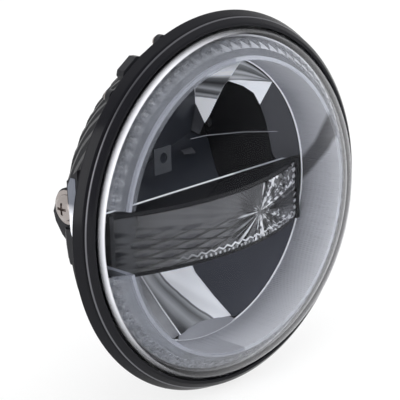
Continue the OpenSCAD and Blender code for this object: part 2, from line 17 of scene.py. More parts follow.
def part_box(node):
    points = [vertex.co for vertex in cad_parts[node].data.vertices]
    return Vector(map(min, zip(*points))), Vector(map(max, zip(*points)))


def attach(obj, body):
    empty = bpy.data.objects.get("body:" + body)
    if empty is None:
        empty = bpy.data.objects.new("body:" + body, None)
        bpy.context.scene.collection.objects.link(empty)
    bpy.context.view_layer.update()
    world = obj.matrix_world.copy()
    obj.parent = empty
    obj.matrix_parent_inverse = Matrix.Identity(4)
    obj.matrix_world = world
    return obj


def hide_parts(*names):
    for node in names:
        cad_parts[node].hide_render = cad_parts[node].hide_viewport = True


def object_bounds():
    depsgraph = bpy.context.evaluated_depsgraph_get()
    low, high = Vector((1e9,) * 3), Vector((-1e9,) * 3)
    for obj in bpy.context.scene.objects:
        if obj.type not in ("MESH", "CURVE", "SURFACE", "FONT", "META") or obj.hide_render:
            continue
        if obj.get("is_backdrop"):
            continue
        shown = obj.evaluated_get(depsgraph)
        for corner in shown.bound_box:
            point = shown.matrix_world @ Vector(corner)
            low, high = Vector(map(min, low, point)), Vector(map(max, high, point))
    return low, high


bl_info = {
    "name": "Round motorcycle headlight",
    "version": (1, 0, 0),
    "blender": (4, 5, 0),
    "location": "View3D > Sidebar > Headlight",
    "description": "Lens, halo ring, fluted bar, reflectors and finishes of a round headlight",
    "category": "Add Mesh",
}

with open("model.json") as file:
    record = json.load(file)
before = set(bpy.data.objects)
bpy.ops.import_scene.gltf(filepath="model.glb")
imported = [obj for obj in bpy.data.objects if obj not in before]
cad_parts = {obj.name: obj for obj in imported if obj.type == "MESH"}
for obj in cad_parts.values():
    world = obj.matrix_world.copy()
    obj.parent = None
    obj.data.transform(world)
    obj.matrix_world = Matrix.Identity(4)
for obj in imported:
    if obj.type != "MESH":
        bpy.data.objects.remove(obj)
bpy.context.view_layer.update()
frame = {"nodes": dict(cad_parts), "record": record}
MM = 0.001
TAU = 2 * math.pi


# settings
def length(name, description, default):
    """A length setting, kept in metres and given here in millimetres."""
    return FloatProperty(name=name, description=description, default=default * MM,
                         unit="LENGTH", subtype="DISTANCE")


def colour(name, description, default):
    """A colour setting."""
    return FloatVectorProperty(name=name, description=description, default=default,
                               size=3, min=0, max=1, subtype="COLOR")


class BezelSettings(bpy.types.PropertyGroup):
    edge_radius: length("Front edge radius", "Radius of the bright front edge", 89)
    rim_radius: length("Rim radius", "Radius of the widest part", 91.7)
    paint: colour("Bezel colour", "Gloss black of the bezel", (0.010, 0.010, 0.012))


class LensSettings(bpy.types.PropertyGroup):
    radius: length("Lens radius", "Outer radius of the lens at its base", 84.3)
    height: length("Lens height", "How far the dome stands in front of the edge plane", 25.5)
    wall: length("Lens wall", "Thickness of the lens", 2.5)


class HaloSettings(bpy.types.PropertyGroup):
    teeth: IntProperty(name="Prism teeth", description="Teeth on the ring's outer edge", default=76, min=12)
    ribs: IntProperty(name="Wall ribs", description="Fine ribs round the deep wall", default=420, min=40)
    silver: colour("Carrier colour", "Pale silver behind the clear ring", (0.46, 0.465, 0.50))


class BarSettings(bpy.types.PropertyGroup):
    half_length: length("Half length", "Half length of the centre bar", 63)
    height: length("Height", "Height of the centre bar", 31)
    middle: length("Middle", "Place of the bar's middle, up from the axis", -8.8)
    bulge: length("Bulge", "How far the bar's middle stands in front of its ends", 16)
    flutes: IntProperty(name="Flutes", description="Flutes round the sunburst", default=60, min=8)


class ChamberSettings(bpy.types.PropertyGroup):
    smoked: colour("Smoked metal", "Dark blue-grey of the mask", (0.020, 0.023, 0.032))
    bright: colour("Bright metal", "Mirror of the reflectors", (0.86, 0.87, 0.9))


class StudioSettings(bpy.types.PropertyGroup):
    floor: colour("Floor colour", "Pale floor and backdrop", (0.9, 0.9, 0.9))
    fill: FloatProperty(name="Fill light", description="Strength of the world's light", default=0.72, min=0)


# meshes
MERGE_DISTANCE, SLIVER_LENGTH = 2e-6, 1e-6


class Shell:
    """Grids of points gathered into one mesh, each with its own UV coordinates."""

    def __init__(self):
        self.points, self.faces, self.uvs, self.count = [], [], [], 0

    def grid(self, p, wrap_u=False, wrap_v=False, flip=False, uv=None):
        """Adds a grid of points p[u, v] as quads. A wrapped side closes on itself."""
        nu, nv = p.shape[:2]
        i = np.arange(nu if wrap_u else nu - 1)[:, None]
        j = np.arange(nv if wrap_v else nv - 1)[None, :]
        i2, j2 = (i + 1) % nu, (j + 1) % nv
        corners = np.broadcast_arrays(i * nv + j, i2 * nv + j, i2 * nv + j2, i * nv + j2)
        quads = np.stack(corners, -1).reshape(-1, 4)
        if flip:
            quads = quads[:, ::-1]
        if uv is None:
            u, v = np.meshgrid(np.linspace(0, 1, nu), np.linspace(0, 1, nv), indexing="ij")
            uv = np.stack([u, v], -1)
        self.points.append(p.reshape(-1, 3))
        self.uvs.append(uv.reshape(-1, 2))
        self.faces.append(quads + self.count)
        self.count += nu * nv
        return self

    def ring(self, profile, steps, at=(0, 0, 0)):
        """Adds a closed profile turned once round the lamp's axis, then moved to a place."""
        return self.grid(turned(profile, round_angles(steps)) + np.array(at), wrap_u=True, wrap_v=True)

    def slab(self, front, back, uv=None):
        """Closes two grids of the same size with a band round their edges: front faces -Y, back faces +Y."""
        self.grid(front, uv=uv)
        self.grid(back, flip=True, uv=uv)
        return self.grid(np.stack([edge_loop(front), edge_loop(back)], 1), wrap_u=True)

    def rail(self, sections):
        """Adds a beam given as sections of four points each, with its two ends closed."""
        self.grid(sections, wrap_v=True)
        for end in (sections[0], sections[-1]):
            self.grid(end[[0, 1, 3, 2]].reshape(2, 2, 3))
        return self

    def build(self, name, look, body="root", slot=None, sharp=30):
        """Makes the mesh: doubles are merged, faces turned outwards, and edges above the angle kept sharp."""
        points, faces = np.concatenate(self.points) * MM, np.concatenate(self.faces)
        mesh = bpy.data.meshes.new(name)
        mesh.vertices.add(len(points))
        mesh.vertices.foreach_set("co", points.ravel())
        mesh.loops.add(faces.size)
        mesh.loops.foreach_set("vertex_index", faces.ravel())
        mesh.polygons.add(len(faces))
        mesh.polygons.foreach_set("loop_start", np.arange(0, faces.size, 4))
        mesh.update(calc_edges=True)
        layer = mesh.uv_layers.new(name="UVMap")
        layer.data.foreach_set("uv", np.concatenate(self.uvs)[faces.ravel()].ravel())
        work = bmesh.new()
        work.from_mesh(mesh)
        bmesh.ops.remove_doubles(work, verts=work.verts, dist=MERGE_DISTANCE)
        bmesh.ops.dissolve_degenerate(work, edges=work.edges, dist=SLIVER_LENGTH)
        bmesh.ops.recalc_face_normals(work, faces=work.faces)
        for face in work.faces:
            face.smooth = True
        work.to_mesh(mesh)
        work.free()
        mesh.set_sharp_from_angle(angle=math.radians(sharp))
        mesh.materials.append(finish(look))
        obj = bpy.data.objects.new(name, mesh)
        bpy.context.scene.collection.objects.link(obj)
        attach(obj, body)
        return obj


def edge_loop(p):
    """The points round the edge of a grid, once round."""
    return np.concatenate([p[:-1, 0], p[-1, :-1], p[:0:-1, -1], p[0, :0:-1]])


def moved(points, x=0.0, y=0.0, z=0.0):
    """Every point moved by the same step."""
    return np.asarray(points, float) + np.array([x, y, z])


def resampled(points, shares):
    """Points of a chain of straight lines, at shares of its length from 0 to 1."""
    p = np.asarray(points, float)
    run = np.concatenate([[0], np.cumsum(np.linalg.norm(np.diff(p, axis=0), axis=1))])
    return np.stack([np.interp(shares, run / run[-1], p[:, k]) for k in range(3)], 1)


def rounded(points, radius, steps=4):
    """A closed profile whose corners are turned into small arcs.

    Each corner is cut back by the radius, or by a third of its shorter side,
    and a quadratic curve with the corner as its control point joins the cuts.
    """
    p = np.asarray(points, float)
    before, after = np.roll(p, 1, 0) - p, np.roll(p, -1, 0) - p
    before_length, after_length = (np.linalg.norm(side, axis=1)[:, None] for side in (before, after))
    cut = np.minimum(radius, np.minimum(before_length, after_length) / 3)
    a, b = p + before / before_length * cut, p + after / after_length * cut
    t = np.linspace(0, 1, steps)[None, :, None]
    return ((1 - t) ** 2 * a[:, None] + 2 * t * (1 - t) * p[:, None] + t ** 2 * b[:, None]).reshape(-1, 2)


def polar(r, angles, y):
    """Points at radius r, angle a and depth y, each a number or a grid: x = r cos a, z = r sin a."""
    return np.stack(np.broadcast_arrays(r * np.cos(angles), y, r * np.sin(angles)), -1)


def turned(profile, angles):
    """Points of a profile of radius and y, carried round the lamp's axis through the angles."""
    profile = np.asarray(profile, float)
    return polar(profile[:, 0], np.asarray(angles, float)[:, None], profile[:, 1])


def round_angles(n):
    """n angles once round, without the last one that would repeat the first."""
    return np.arange(n) * TAU / n


def triangle(t):
    """A triangle wave from 0 to 1 and back, once for each unit of t."""
    return 1 - np.abs(2 * (t - np.floor(t)) - 1)


def smooth_step(x, low, high):
    """Goes from 0 at low to 1 at high, level at both ends: 3t² - 2t³, where t is the share of the way."""
    t = np.clip((x - low) / (high - low), 0, 1)
    return t * t * (3 - 2 * t)


# materials
def operator_pair(operation):
    """Two methods for one operator: with the socket before the other value, and with it after."""
    def plain(self, other):
        return self.math(operation, self, other)

    def reflected(self, other):
        return self.math(operation, other, self)

    return plain, reflected


class Socket:
    """One output of a shader node. Sums of sockets and numbers add Math nodes."""

    def __init__(self, finish, out):
        self.finish, self.out = finish, out

    def math(self, operation, first, second=0.0, clamp=False):
        return self.finish.node("Math", {"operation": operation, "use_clamp": clamp}, {0: first, 1: second})

    __add__, __radd__ = operator_pair("ADD")
    __sub__, __rsub__ = operator_pair("SUBTRACT")
    __mul__, __rmul__ = operator_pair("MULTIPLY")
    __truediv__, __rtruediv__ = operator_pair("DIVIDE")
    __pow__, __rpow__ = operator_pair("POWER")
    __lt__, __gt__ = operator_pair("LESS_THAN")

    def __neg__(self):
        return self * -1.0

    def __abs__(self):
        return self.math("ABSOLUTE", self)

    def clamped(self):
        """Kept between 0 and 1."""
        return self.math("ADD", self, 0.0, True)

    def wave(self):
        """A triangle wave from 0 to 1 and back, once for every two units."""
        return self.math("PINGPONG", self, 1.0)


class Finish:
    """The node tree of a material or a world, made of nodes that one method adds."""

    def __init__(self, owner, end="OutputMaterial"):
        owner.use_nodes = True
        self.owner, self.nodes, self.links = owner, owner.node_tree.nodes, owner.node_tree.links
        self.nodes.clear()
        self.end = self.nodes.new("ShaderNode" + end)

    def node(self, kind, settings=None, inputs=None, output=0):
        """Adds a node of a type, sets its settings, then its inputs by value or by link."""
        node = self.nodes.new("ShaderNode" + kind)
        for key, value in (settings or {}).items():
            if key == "stops":
                ramp = node.color_ramp
                while len(ramp.elements) < len(value):
                    ramp.elements.new(0.5)
                for element, (place, shade) in zip(ramp.elements, value):
                    element.position, element.color = place, (*shade, 1)
            else:
                setattr(node, key, value)
        for key, value in (inputs or {}).items():
            if isinstance(value, Socket):
                self.links.new(value.out, node.inputs[key])
            else:
                is_colour = node.inputs[key].type == "RGBA"
                node.inputs[key].default_value = (*value, 1.0) if is_colour else value
        return Socket(self, node.outputs[output])

    def outputs(self, socket, *names):
        """Other outputs of the node that a socket belongs to."""
        return [Socket(self, socket.out.node.outputs[name]) for name in names]

    def coordinate(self, kind="Object"):
        return self.node("TexCoord", output=kind)

    def place(self, kind="Object"):
        """The x, y and z of a texture coordinate."""
        x = self.node("SeparateXYZ", None, {0: self.coordinate(kind)})
        return [x, *self.outputs(x, 1, 2)]

    def noise(self, scale, detail=3.0, rough=0.5, vector=None):
        vector = vector or self.coordinate()
        inputs = {"Vector": vector, "Scale": scale, "Detail": detail, "Roughness": rough}
        return self.node("TexNoise", None, inputs)

    def mix(self, factor, a, b):
        """A colour between a and b."""
        return self.node("Mix", {"data_type": "RGBA"}, {0: factor, 6: a, 7: b}, output=2)

    def ramp(self, factor, stops):
        """A colour read from stops, each a place from 0 to 1 and its colour."""
        return self.node("ValToRGB", {"stops": stops}, {0: factor})

    def bump(self, height, distance, strength=1.0):
        """A normal dented by a height, with the distance in millimetres."""
        return self.node("Bump", None, {"Strength": strength, "Distance": distance * MM, "Height": height})

    def skin(self, **inputs):
        """A principled surface. Names use underscores for spaces."""
        inputs = {key.replace("_", " "): value for key, value in inputs.items()}
        return self.node("BsdfPrincipled", None, inputs)

    def air(self, colour):
        """Lets light through, tinted by a colour."""
        return self.node("BsdfTransparent", None, {"Color": colour})

    def gloss(self, colour, rough, **inputs):
        """A mirror-like surface."""
        return self.node("BsdfAnisotropic", None, {"Color": colour, "Roughness": rough, **inputs})

    def blend(self, share, first, second):
        """A shader between the first and the second."""
        return self.node("MixShader", None, {0: share, 1: first, 2: second})

    def grazing(self, low, high, power=4.0):
        """A share that is low where the surface is seen squarely and grows towards its edges."""
        facing = self.node("LayerWeight", None, {"Blend": 0.5}, output="Facing")
        return facing ** power * high + low

    def close(self, shader, clear=False):
        """Ends the tree with a shader. A clear material is drawn over what lies behind it."""
        self.links.new(shader.out, self.end.inputs["Surface"])
        if clear:
            self.owner.surface_render_method = "BLENDED"
        return self.owner


def new_finish(name):
    """A new material's node tree."""
    return Finish(bpy.data.materials.new(name))


def fade(value, start, end, unit=MM):
    """Goes straight from 0 at start to 1 at end, which are in millimetres unless a unit is given."""
    return ((value - start * unit) / ((end - start) * unit)).clamped()


def from_axis(x, z):
    """Distance from the lamp's axis."""
    return (x * x + z * z) ** 0.5


def scaled(base, factor):
    """A colour made darker or brighter, up to white."""
    return [min(1, part * factor) for part in base]


def moulded(name, base, rough, grain=0.0, coat=0.0, sheen=0.4):
    """Moulded plastic: one colour with faint flow marks, and a roughness that wanders a little."""
    f = new_finish(name)
    cloud = f.noise(30.0, 4.0)
    values = {
        "Base_Color": f.mix(cloud, scaled(base, 0.88), scaled(base, 1.12)),
        "Roughness": rough + (cloud - 0.5) * (rough * 0.5),
        "Coat_Weight": coat, "Coat_Roughness": 0.03, "Specular_IOR_Level": sheen,
    }
    if grain:
        values["Normal"] = f.bump(f.noise(900.0, 2.0), grain, 0.6)
    return f.close(f.skin(**values))


def metal(name, base, rough, streak=0.0, grain=0.0):
    """Bare or plated metal: faint streaks along Z and a fine grain."""
    f = new_finish(name)
    stretched = f.node("Mapping", None, {"Vector": f.coordinate(), "Scale": (1.0, 1.0, 0.04)})
    lines = f.noise(2500.0, 2.0, vector=stretched)
    cloud = f.noise(60.0, 3.0)
    values = {
        "Base_Color": f.mix(cloud, scaled(base, 0.86), base), "Metallic": 1.0,
        "Roughness": rough + (cloud - 0.5) * rough * 0.6 + (lines - 0.5) * streak,
    }
    if grain:
        values["Normal"] = f.bump(f.noise(1400.0, 2.0), grain, 0.5)
    return f.close(f.skin(**values))


def streaked(name, low, high, rough, sheen=0.2):
    """Smooth colour drifting in long soft streaks down a face: the chamber facets' painted shade, light and
    reflection.
    """
    f = new_finish(name)
    across = f.node("Mapping", None, {"Vector": f.coordinate(), "Scale": (1.0, 1.0, 0.12)})
    drift = f.noise(110.0, 3.0, vector=across)
    return f.close(f.skin(Base_Color=f.mix(drift, low, high), Roughness=rough, Specular_IOR_Level=sheen))


def painted_reflection_bands(name, along, stops, wander=0.03, slant=0.0, painted_glow=0.16):
    """Mirror-bright metal with painted reflections: bands of the dark and pale things in front of it are
    painted into its colour.

    The bands run across one direction of the panel, wander a little, and may lean over its length.
    Their colour also shines out faintly as painted light, though the metal is no lamp.
    """
    f = new_finish(name)
    u, v, _ = f.place("UV")
    place = u + (1.0 - v) * slant if along == "u" else v
    drift = f.noise(55.0, 3.0)
    shade = f.ramp(place + (drift - 0.5) * wander, stops)
    # painted light: the band colour shines out faintly, though the panel is no lamp
    return f.close(f.skin(Base_Color=shade, Metallic=0.15, Roughness=0.3 + drift * 0.06,
                          Emission_Color=shade, Emission_Strength=painted_glow))


def bezel_black():
    """Gloss black plastic."""
    return moulded("bezel_black", tuple(bpy.context.scene.headlight_bezel.paint), 0.16, sheen=0.1)


def chrome():
    """Mirror of the reflectors."""
    return metal("chrome", tuple(bpy.context.scene.headlight_chamber.bright), 0.06)


def cast_black():
    """Black powder coat on a casting: orange peel, a fine grain and clouds of a paler black."""
    f = new_finish("cast_black")
    peel = f.noise(420.0, 4.0, 0.6)
    grain = f.noise(1600.0, 2.0)
    cloud = f.noise(22.0, 4.0)
    shade = f.mix(cloud, (0.008, 0.008, 0.010), (0.020, 0.020, 0.023))
    dent = f.bump(peel * 0.7 + grain * 0.3, 0.09, 0.7)
    rough = 0.34 + cloud * 0.16
    return f.close(f.skin(Base_Color=shade, Roughness=rough, Specular_IOR_Level=0.2, Normal=dent))


def mask_dark():
    """Smoked metallised plastic: dark blue-grey, almost smooth."""
    f = new_finish("mask_dark")
    cloud = f.noise(14.0, 2.0)
    base = tuple(bpy.context.scene.headlight_chamber.smoked)
    shade = f.mix(cloud, scaled(base, 0.8), scaled(base, 1.3))
    rough = 0.3 + cloud * 0.08
    return f.close(f.skin(Base_Color=shade, Metallic=0.2, Roughness=rough, Specular_IOR_Level=0.25))


def carrier_silver():
    """Frosted silver lacquer with a pebble grain and grey clouds, darker in the upper half from painted shade.

    A dark band of painted shade lies along its inner edge at the upper left.
    """
    f = new_finish("carrier_silver")
    cloud = f.noise(38.0, 5.0, 0.62)
    pebble = f.noise(620.0, 2.0)
    x, _, z = f.place()
    base = tuple(bpy.context.scene.headlight_halo.silver)
    # painted light and shade: paler towards the lower right, darker towards the upper left
    painted_light = (0.35 - z * 5.0 + x * 2.0).clamped()
    shade = f.mix(((cloud - 0.5) * 1.6 + 0.2 + painted_light * 0.7).clamped(), scaled(base, 0.2), base)
    # painted shade: a dark band along the inner edge at the upper left
    painted_shade_strip = fade(from_axis(x, z), 76.2, 75.4) * fade(x, -45, -60) * (z > 0.0)
    shade = f.mix(painted_shade_strip * 0.75, shade, (0.05, 0.052, 0.06))
    dent = f.bump(pebble, 0.05, 0.5)
    return f.close(f.skin(Base_Color=shade, Metallic=0.3, Roughness=0.34 + cloud * 0.1, Normal=dent))


def wall_silver():
    """Pale silver lacquer of the deep wall: at the right painted light in front and a painted dark slanting
    reflection.
    """
    f = new_finish("wall_silver")
    cloud = f.noise(24.0, 3.0)
    x, y, z = f.place()
    right = x > 0.0
    # where the painted dark reflection runs: its middle, its front and its slant
    reflection_middle, reflection_front, reflection_slope = 26 * MM, -8 * MM, 1.1
    off_painted_reflection = abs(z - reflection_middle + (y - reflection_front) * reflection_slope + (cloud - 0.5) * 0.006)
    shade = f.mix(cloud, (0.30, 0.305, 0.345), (0.44, 0.445, 0.49))
    # painted light: paler towards the front at the right
    shade = f.mix(fade(y, 12, -10) * right * 0.75, shade, (0.74, 0.745, 0.79))
    # painted reflection: a dark slanting band at the right
    shade = f.mix(fade(off_painted_reflection, 7.5, 4.5) * right * 0.9, shade, (0.06, 0.061, 0.07))
    return f.close(f.skin(Base_Color=shade, Metallic=0.2, Roughness=0.36 + cloud * 0.1))


def skirt_shade():
    """Lacquer of the carrier's outer skirt: dark at the left, which lies in shadow, silver at the right."""
    f = new_finish("skirt_shade")
    x, _, _ = f.place()
    right = fade(x + f.noise(30.0) * 0.01, 0, 40)
    return f.close(f.skin(Base_Color=f.mix(right, (0.012, 0.012, 0.016), (0.62, 0.625, 0.67)), Roughness=0.3))


def plate_silver():
    """Bare foil: white below, and bluish grey above where it turns from the light, slightly creased."""
    f = new_finish("plate_silver")
    crease = f.noise(70.0, 3.0)
    _, _, z = f.place()
    shade = f.mix(fade(z, 12, 18), (0.9, 0.9, 0.95), (0.13, 0.14, 0.17))
    dent = f.bump(crease, 0.2, 0.5)
    return f.close(f.skin(Base_Color=shade, Metallic=0.1, Roughness=0.3 + crease * 0.2, Normal=dent))


def lens_clear():
    """Clear lens: almost unseen where it is looked at squarely, mirror-like at its limb.

    A narrow band on its thick shoulder is painted white as a highlight, most strongly at the left.
    """
    f = new_finish("lens_clear")
    x, _, z = f.place()
    radius = from_axis(x, z)
    shoulder = fade(radius, 84.0, 82.6) * fade(radius, 82.0, 82.3)
    left = fade(x, 12, -38) * fade(z, -75, -25)
    # painted highlight: a white diffuse band on the shoulder
    white = f.skin(Base_Color=(0.66, 0.66, 0.70), Roughness=0.25)
    haze = f.skin(Base_Color=(0.9, 0.92, 0.95), Roughness=0.3 + f.noise(30.0) * 0.1, Specular_IOR_Level=0.2)
    inner = f.blend(0.0015, f.air((0.975, 0.98, 0.985)), haze)
    lit = f.blend(shoulder * (left * 0.82 + 0.1), inner, white)
    outer = f.blend(f.grazing(0.002, 0.85, 5.0), lit, f.gloss((0.9, 0.9, 0.92), 0.02))
    return f.close(outer, clear=True)


def guide_clear():
    """Clear light guide: a milky body with a frosted grain, and a gloss that grows towards grazing angles.

    Each prism of its outer edge is painted light inside a dark outline of painted shade, crisp at the right and
    clouded at the left. Both body and gloss almost vanish over the window at the left.
    """
    f = new_finish("guide_clear")
    frost = f.noise(900.0, 3.0)
    cloud = f.noise(45.0, 4.0, 0.6)
    dent = f.bump(frost, 0.04, 0.5)
    x, _, z = f.place()
    window = (x < -60 * MM) * (z < 15.5 * MM) * (z > -16.5 * MM)
    over = 1.0 - window * 0.95
    around = f.node("Math", {"operation": "ARCTAN2"}, {0: z, 1: x})
    tooth = (around * (bpy.context.scene.headlight_halo.teeth / math.pi)).wave()
    tooth_foot, tooth_height = 75.2 * MM, 3.6 * MM
    out = (from_axis(x, z) - tooth_foot) / tooth_height
    crisp = fade(x, -15, 25) * 0.8 + 0.2
    # painted shade along each prism's outline, and painted light inside it
    line = (1.1 - abs(tooth - out) / 0.12).clamped() * crisp
    inside = (out > 0.0) * (out < tooth) * crisp
    shade = f.mix(line, f.mix(inside, (0.27, 0.275, 0.30), (0.66, 0.67, 0.72)), (0.02, 0.02, 0.024))
    milky = f.skin(Base_Color=shade, Roughness=0.28, Normal=dent)
    body = (((cloud - 0.3) * 0.6 + 0.06 + line * 0.6 + inside * 0.4) * over).clamped()
    inner = f.blend(body, f.air((0.93, 0.94, 0.96)), milky)
    outer = f.blend(f.grazing(0.012, 0.14) * over, inner, f.gloss((1.0, 1.0, 1.0), 0.08, Normal=dent))
    return f.close(outer, clear=True)


# painted light and shade of the rays, from black through grey to white
RAY_PAINTED_LIGHT_STOPS = ((0.0, (0.006, 0.006, 0.008)), (0.36, (0.02, 0.02, 0.024)), (0.46, (0.16, 0.16, 0.17)),
             (0.74, (0.06, 0.06, 0.066)), (0.84, (0.5, 0.51, 0.55)), (1.0, (0.9, 0.9, 0.94)))


def optic_clear():
    """Cut acrylic over a silvered back, its light and shade painted: each ray, groove and edge prism is painted
    bright or dark.

    The UV's first number counts the rays, and its second is high along the crossing grooves.
    """
    f = new_finish("optic_clear")
    ray, groove, _ = f.place("UV")
    x, _, z = f.place()
    half_flute = f.node("Math", {"operation": "FLOOR"}, {0: ray * 2.0})
    chance = f.node("TexWhiteNoise", {"noise_dimensions": "1D"}, {"W": half_flute}, output="Value")
    glint = f.noise(340.0, 2.0)
    above = fade(z, -7.8, -4.8)
    burst = fade(x - above * (18 * MM), 2, 10)
    right = fade(x, 16, 28)
    # painted reflection: each half flute drawn at random from dark to bright
    cut = f.ramp((chance + (glint - 0.5) * (right * 2.0 + 0.25)).clamped(), RAY_PAINTED_LIGHT_STOPS)
    grey = f.mix(f.noise(60.0, 3.0), (0.035, 0.035, 0.04), (0.11, 0.11, 0.12))
    grey = f.mix(fade(x, -28, -58) * 0.7, grey, (0.02, 0.02, 0.022))
    # painted shade in the crossing grooves of the lower part
    groove_painted_shade = fade(groove, 0.66, 0.94, unit=1) * fade(z, -3.5, -9.5) * 0.9
    shade = f.mix(burst, f.mix(groove_painted_shade, grey, (0.010, 0.010, 0.012)), cut)
    zigzag_rate, square_rate, tooth_rate = 380.0, 700.0, 620.0  # half waves in a metre
    # painted highlights: a bright zigzag and a row of small square marks along the bottom edge
    off_zigzag = abs(z + 20.3 * MM - (x * zigzag_rate).wave() * (1.3 * MM))
    edge = fade(off_zigzag, 0.5, 0.3) * fade(x, -35, 5)
    painted_square_highlights = (z < -20.9 * MM) * ((x * square_rate).wave() > 0.6) * (x > -20 * MM)
    shade = f.mix((edge + painted_square_highlights * 0.5).clamped(), shade, (0.72, 0.73, 0.77))
    # painted shade at the ends: black at the left end, and dark at the right end with painted highlights on its
    # teeth
    right_end, left_end = x > 57.2 * MM, x < -58.5 * MM
    shade = f.mix(right_end, shade, (0.01, 0.01, 0.012))
    shade = f.mix(right_end * ((z * tooth_rate).wave() > 0.5), shade, (0.6, 0.61, 0.64))
    shade = f.mix(left_end, shade, (0.008, 0.008, 0.01))
    silver = f.skin(Base_Color=shade, Metallic=0.1, Roughness=0.2, Specular_IOR_Level=0.25)
    inner = f.blend(0.93, f.air((0.9, 0.9, 0.92)), silver)
    outer = f.blend(f.grazing(0.025, 0.3), inner, f.gloss((1.0, 1.0, 1.0), 0.04))
    return f.close(outer, clear=True)


WHITE = (0.88, 0.89, 0.94)
PALE = (0.4, 0.41, 0.44)
GREY = (0.14, 0.145, 0.155)
DIM = (0.05, 0.052, 0.06)
BLACK = (0.01, 0.01, 0.012)
# painted reflections of the mirror panels: bands of dark and pale, each a place and its colour
BLADE_STOPS = ((0.0, PALE), (0.2, WHITE), (0.27, GREY), (0.36, BLACK), (0.42, GREY), (0.47, PALE), (0.5, GREY),
               (0.54, DIM), (0.57, PALE), (0.6, GREY), (0.62, WHITE), (1.0, WHITE))
BROW_STOPS = ((0.0, DIM), (0.12, PALE), (0.2, GREY), (0.42, DIM), (0.55, PALE), (0.7, GREY), (0.85, PALE),
              (1.0, GREY))
TROUGH_STOPS = ((0.0, DIM), (0.06, BLACK), (0.16, DIM), (0.22, GREY), (0.4, PALE), (0.6, GREY), (0.7, PALE),
                (0.74, DIM), (0.77, WHITE), (1.0, WHITE))
OWN_MAKERS = {maker.__name__: maker for maker in (
    bezel_black, chrome, cast_black, mask_dark, carrier_silver, wall_silver, skirt_shade, plate_silver,
    lens_clear, guide_clear, optic_clear)}
PLAIN = {
    "seal_rubber": (moulded, {"base": (0.03, 0.03, 0.03), "rough": 0.7, "grain": 0.03}),
    "tray_dark": (moulded, {"base": (0.006, 0.006, 0.008), "rough": 0.2, "coat": 0.1, "sheen": 0.1}),
    "board_white": (moulded, {"base": (0.72, 0.73, 0.72), "rough": 0.45}),
    "board_green": (moulded, {"base": (0.02, 0.12, 0.05), "rough": 0.35, "coat": 0.3}),
    "led_yellow": (moulded, {"base": (0.8, 0.66, 0.12), "rough": 0.35, "coat": 0.6}),
    "parts_dark": (moulded, {"base": (0.03, 0.03, 0.035), "rough": 0.4}),
    "connector_black": (moulded, {"base": (0.02, 0.02, 0.022), "rough": 0.42, "grain": 0.04}),
    "vent_grey": (moulded, {"base": (0.12, 0.12, 0.125), "rough": 0.5, "grain": 0.04}),
    "bracket_grey": (moulded, {"base": (0.055, 0.058, 0.068), "rough": 0.4, "sheen": 0.1}),
    "edge_grey": (metal, {"base": (0.16, 0.16, 0.175), "rough": 0.34}),
    "heat_sink": (metal, {"base": (0.55, 0.55, 0.57), "rough": 0.45, "streak": 0.1, "grain": 0.05}),
    "screw_steel": (metal, {"base": (0.42, 0.38, 0.365), "rough": 0.3, "streak": 0.12, "grain": 0.02}),
    "contact_metal": (metal, {"base": (0.72, 0.6, 0.38), "rough": 0.25, "streak": 0.1}),
    # painted shade and light: the smoked mask's colour made darker for the arch, paler for the cheeks and the
    # flat panel
    "arch_black": (streaked, {"low": (0.001, 0.001, 0.0015), "high": (0.006, 0.006, 0.008), "rough": 0.6,
                              "sheen": 0.0}),
    "cheek_grey": (streaked, {"low": (0.045, 0.046, 0.054), "high": (0.065, 0.066, 0.077), "rough": 0.4,
                              "sheen": 0.1}),
    "panel_dark": (streaked, {"low": (0.046, 0.049, 0.064), "high": (0.058, 0.061, 0.078), "rough": 0.45,
                              "sheen": 0.08}),
    # painted reflection: white in place of what the mirror facets and their edges reflect
    "bright_panel": (streaked, {"low": (0.88, 0.89, 0.95), "high": (0.95, 0.955, 0.99), "rough": 0.45}),
    # painted reflection bands; the blade's shine out most strongly as painted light
    "blade_bands": (painted_reflection_bands, {"along": "v", "stops": BLADE_STOPS, "painted_glow": 0.36}),
    "brow_bands": (painted_reflection_bands, {"along": "u", "stops": BROW_STOPS}),
    "trough_chrome": (painted_reflection_bands, {"along": "u", "stops": TROUGH_STOPS, "wander": 0.12, "slant": 0.3}),
}
MADE = {}


def finish(name):
    """The material of that name, made once."""
    if name not in MADE:
        if name in PLAIN:
            maker, values = PLAIN[name]
            MADE[name] = maker(name, **values)
        else:
            MADE[name] = OWN_MAKERS[name]()
    return MADE[name]


# pieces
BEZEL_STEPS = 320
LENS_FOOT = 1.8  # height of the lens's straight foot
WINDOW = (168, 192)  # degrees between which the ring's carrier is open at the left
RING_INNER, RING_OUTER = 70, 79.4  # radii of the halo ring's front
FRONT_INNER, FRONT_OUTER = 12, 3.4  # how far those edges stand in front of the edge plane
BAR_ENDS_Y, BAR_BACK_Y = 13.6, 20.1
BURST_X = 23.0  # the sunburst's centre along the bar
# nodes behind the panels, painted dark as shade so that no edge of theirs shines through a gap
SHOWN_DARK = ("mask_screws", "halo_led_board", "low_beam_board", "high_beam_board", "low_beam_leds",
              "high_beam_leds", "led_heat_sink")


